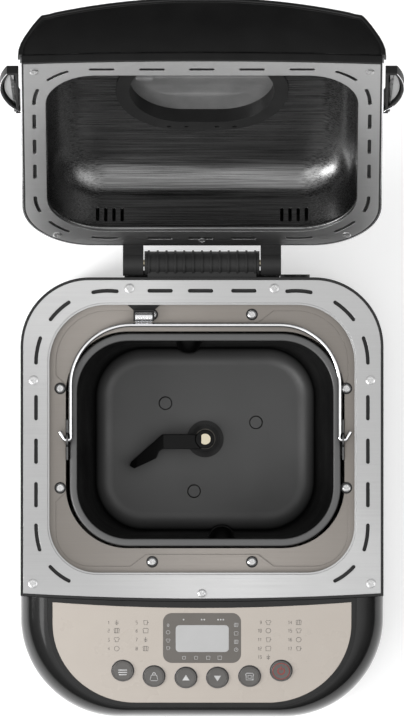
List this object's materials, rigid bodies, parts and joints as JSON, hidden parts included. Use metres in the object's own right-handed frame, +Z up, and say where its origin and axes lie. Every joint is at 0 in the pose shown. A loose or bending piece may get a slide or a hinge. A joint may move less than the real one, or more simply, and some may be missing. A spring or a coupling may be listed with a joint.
{
  "type": "bread machine",
  "caption": "Countertop bread machine with hinged windowed lid, lift-out pan with bail and belt-driven paddle, sloping console with push buttons.",
  "frame": {"origin": "on the worktop, under the middle of the opened machine's box", "axes": "+X to the machine's right, -Y to its front, +Z up"},
  "size_m": [0.2884, 0.517, 0.4199],
  "materials": {
    "black_plastic": "fine texture",
    "gloss_black": "polished",
    "rubber_feet": "matte",
    "body_steel": "fine brushed",
    "rim_steel": "satin",
    "oven_steel": "satin, warm",
    "screw_steel": "zinc plated",
    "element": "heat dulled",
    "chrome": "polished",
    "cast_metal": "machined",
    "bronze": "sintered",
    "shaft_steel": "ground",
    "belt_rubber": "matte",
    "motor_steel": "grey",
    "capacitor": "off white",
    "circuit_board": "solder mask",
    "panel": "pale warm grey, satin",
    "lcd": "grey display",
    "button_grey": "satin",
    "pan_coating": "non-stick coating",
    "pan_metal": "cast",
    "liner_steel": "drawn, brushed",
    "window_glass": "tempered"
  },
  "bodies": {
    "housing": {"base_tray": "black_plastic", "feet": "rubber_feet", "body_shell": "body_steel", "front_bumper": "gloss_black", "top_bezel": "black_plastic", "rim_plate": "rim_steel", "rim_screws": "screw_steel", "chamber_flange": "oven_steel", "flange_screws": "screw_steel", "oven_liner": "oven_steel", "heating_element": "element", "element_clips": "element", "temperature_probe": "chrome", "probe_bracket": "black_plastic", "pan_seat": "oven_steel", "chassis_plate": "body_steel", "bearing_housing": "cast_metal", "drive_bushes": "bronze", "drive_belt": "belt_rubber", "motor": "motor_steel", "motor_capacitor": "capacitor", "power_board": "circuit_board", "control_board": "circuit_board", "lcd_module": "lcd", "panel_frame": "black_plastic", "control_panel": "panel", "cord_gland": "black_plastic", "hinge_base": "black_plastic", "hinge_pin": "shaft_steel"},
    "drive": {"drive_shaft": "shaft_steel", "drive_coupling": "cast_metal", "large_pulley": "black_plastic"},
    "rotor": {"motor_shaft": "shaft_steel", "small_pulley": "pan_metal"},
    "pan": {"pan_body": "pan_coating", "pan_base_ring": "pan_metal", "pan_rivets": "pan_coating", "pan_bush": "bronze", "pan_lugs": "pan_coating"},
    "bail": {"bail": "chrome"},
    "kneader": {"pan_shaft": "shaft_steel", "pan_coupling": "cast_metal"},
    "paddle": {"paddle": "pan_coating"},
    "lid": {"lid_shell": "body_steel", "lid_frame": "black_plastic", "lid_trim": "chrome", "lid_fascia": "gloss_black", "lid_rim_plate": "rim_steel", "lid_screws": "screw_steel", "lid_liner": "liner_steel", "window_frame": "black_plastic", "window_glass": "window_glass", "lid_grips": "black_plastic", "hinge_arms": "black_plastic"},
    "button_menu": {"button_menu": "button_grey"},
    "button_weight": {"button_weight": "button_grey"},
    "button_up": {"button_up": "button_grey"},
    "button_down": {"button_down": "button_grey"},
    "button_crust": {"button_crust": "button_grey"},
    "button_start": {"button_start": "button_grey"}
  },
  "joints": [
    {"name": "lid_hinge", "type": "hinge", "parent": "housing", "child": "lid", "pos_m": [0, 0.06978, 0.222], "axis": [1, 0, 0], "range_deg": [0, 124]},
    {"name": "pan_lift", "type": "slide", "parent": "housing", "child": "pan", "axis": [0, 0, -1], "range_m": [-0.175, 0]},
    {"name": "bail_swing", "type": "hinge", "parent": "pan", "child": "bail", "pos_m": [0.0023, -0.05782, 0.2265], "axis": [-1, 0, 0], "range_deg": [-180, 0]},
    {"name": "drive_spin", "type": "hinge", "parent": "housing", "child": "drive", "pos_m": [0.0023, -0.05782, 0.03], "axis": [0, 0, 1], "continuous": true},
    {"name": "kneader_spin", "type": "hinge", "parent": "pan", "child": "kneader", "pos_m": [0.0023, -0.05782, 0.09], "axis": [0, 0, 1], "continuous": true},
    {"name": "rotor_spin", "type": "hinge", "parent": "housing", "child": "rotor", "pos_m": [-0.034, -0.19923, 0.03], "axis": [0, 0, 1], "continuous": true},
    {"name": "paddle_lift", "type": "slide", "parent": "kneader", "child": "paddle", "axis": [0, 0, -1], "range_m": [-0.026, 0]},
    {"name": "menu_press", "type": "slide", "parent": "housing", "child": "button_menu", "axis": [0, 0.2924, -0.9563], "range_m": [0, 0.001], "stiffness_N_per_m": 400, "springref_m": -0.0008},
    {"name": "weight_press", "type": "slide", "parent": "housing", "child": "button_weight", "axis": [0, 0.2924, -0.9563], "range_m": [0, 0.001], "stiffness_N_per_m": 400, "springref_m": -0.0008},
    {"name": "up_press", "type": "slide", "parent": "housing", "child": "button_up", "axis": [0, 0.2924, -0.9563], "range_m": [0, 0.001], "stiffness_N_per_m": 400, "springref_m": -0.0008},
    {"name": "down_press", "type": "slide", "parent": "housing", "child": "button_down", "axis": [0, 0.2924, -0.9563], "range_m": [0, 0.001], "stiffness_N_per_m": 400, "springref_m": -0.0008},
    {"name": "crust_press", "type": "slide", "parent": "housing", "child": "button_crust", "axis": [0, 0.2924, -0.9563], "range_m": [0, 0.001], "stiffness_N_per_m": 400, "springref_m": -0.0008},
    {"name": "start_press", "type": "slide", "parent": "housing", "child": "button_start", "axis": [0, 0.2924, -0.9563], "range_m": [0, 0.001], "stiffness_N_per_m": 400, "springref_m": -0.0008}
  ],
  "couplings": [
    {"joint": "kneader_spin", "follows": "drive_spin", "ratio": 1},
    {"joint": "rotor_spin", "follows": "drive_spin", "ratio": 6}
  ]
}
